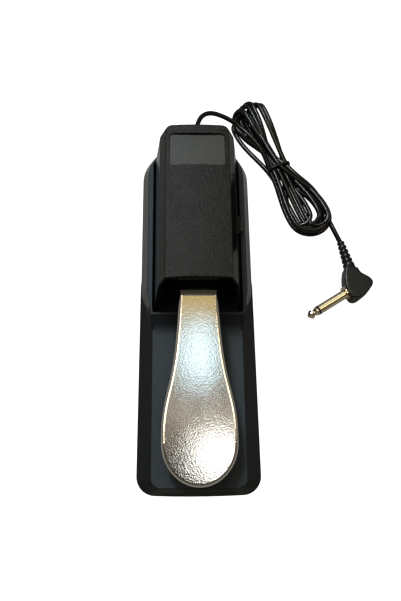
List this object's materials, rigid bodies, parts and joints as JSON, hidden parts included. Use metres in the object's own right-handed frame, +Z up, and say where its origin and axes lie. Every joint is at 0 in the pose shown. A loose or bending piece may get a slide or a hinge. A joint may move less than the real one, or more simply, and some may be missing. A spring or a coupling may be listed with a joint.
{
  "type": "sustain pedal",
  "caption": "Piano-style foot pedal: chrome lever sprung in a black housing on a long flat base, with a coiled lead and a right-angle jack plug.",
  "frame": {"origin": "on the ground, on the middle line, under the mouth of the housing", "axes": "+X to the player's right, +Y from the toe of the pedal to the cord end, +Z up"},
  "size_m": [0.1597, 0.2879, 0.0575],
  "materials": {
    "pad_rubber": "matt black anti-slip rubber",
    "zinc_steel": "zinc plated",
    "base_black": "fine leather grain, black",
    "housing_black": "leather grain top, semi-gloss sides, black",
    "label_grey": "blank dark grey plate",
    "spring_steel": "bright spring wire",
    "nylon_white": "natural nylon",
    "pedal_chrome": "chrome over a fine orange-peel casting",
    "inner_black": "moulded black",
    "felt_grey": "pressed felt",
    "board_green": "solder-mask green",
    "knob_grey": "moulded dark knob",
    "cord_black": "soft PVC jacket",
    "tie_black": "coated twist wire",
    "wire_red": "PVC insulation",
    "wire_white": "PVC insulation",
    "plug_black": "moulded PVC",
    "plug_nickel": "nickel plated brass"
  },
  "bodies": {
    "base": {"foot_pad": "pad_rubber", "base_plate": "zinc_steel", "base_plate_screws": "zinc_steel", "base_shell": "base_black", "housing_cover": "housing_black", "label_plate": "label_grey", "housing_screws": "zinc_steel", "pivot_bracket": "zinc_steel", "bracket_screws": "zinc_steel", "pivot_pin": "zinc_steel", "pin_clips": "spring_steel", "spring_seat": "inner_black", "return_spring": "spring_steel", "down_stop_pad": "felt_grey", "up_stop_pad": "felt_grey", "circuit_board": "board_green", "board_screws": "zinc_steel", "switch_body": "inner_black", "polarity_switch": "inner_black", "cable_gland": "cord_black", "cord_clamp": "inner_black", "clamp_screws": "zinc_steel", "inner_cord": "cord_black", "signal_wire": "wire_red", "ground_wire": "wire_white", "cord_lead": "cord_black", "cord_hank": "cord_black", "cord_tail": "cord_black", "cord_tie": "tie_black", "plug_relief": "cord_black", "plug_body": "plug_black", "plug_sleeve": "plug_nickel", "plug_ring": "plug_black", "plug_tip": "plug_nickel"},
    "pedal": {"pedal_plate": "pedal_chrome", "pedal_arm": "inner_black", "pedal_screws": "zinc_steel", "pivot_bushes": "nylon_white"},
    "plunger": {"switch_plunger": "knob_grey"},
    "slider": {"polarity_slider": "knob_grey"}
  },
  "joints": [
    {"name": "pedal_pivot", "type": "hinge", "parent": "base", "child": "pedal", "pos_m": [0, 0.06062, 0.03832], "axis": [1, 0, 0], "range_deg": [0, 3.3], "stiffness_Nm_per_rad": 12, "springref_deg": -4.58, "deforming": ["return_spring"]},
    {"name": "plunger_slide", "type": "slide", "parent": "base", "child": "plunger", "axis": [0, 0, 1], "range_m": [-0.0014, 0]},
    {"name": "polarity_slide", "type": "slide", "parent": "base", "child": "slider", "axis": [0, 1, 0], "range_m": [0, 0.004]}
  ],
  "couplings": [
    {"joint": "plunger_slide", "follows": "pedal_pivot", "m_per_rad": -0.0226}
  ]
}
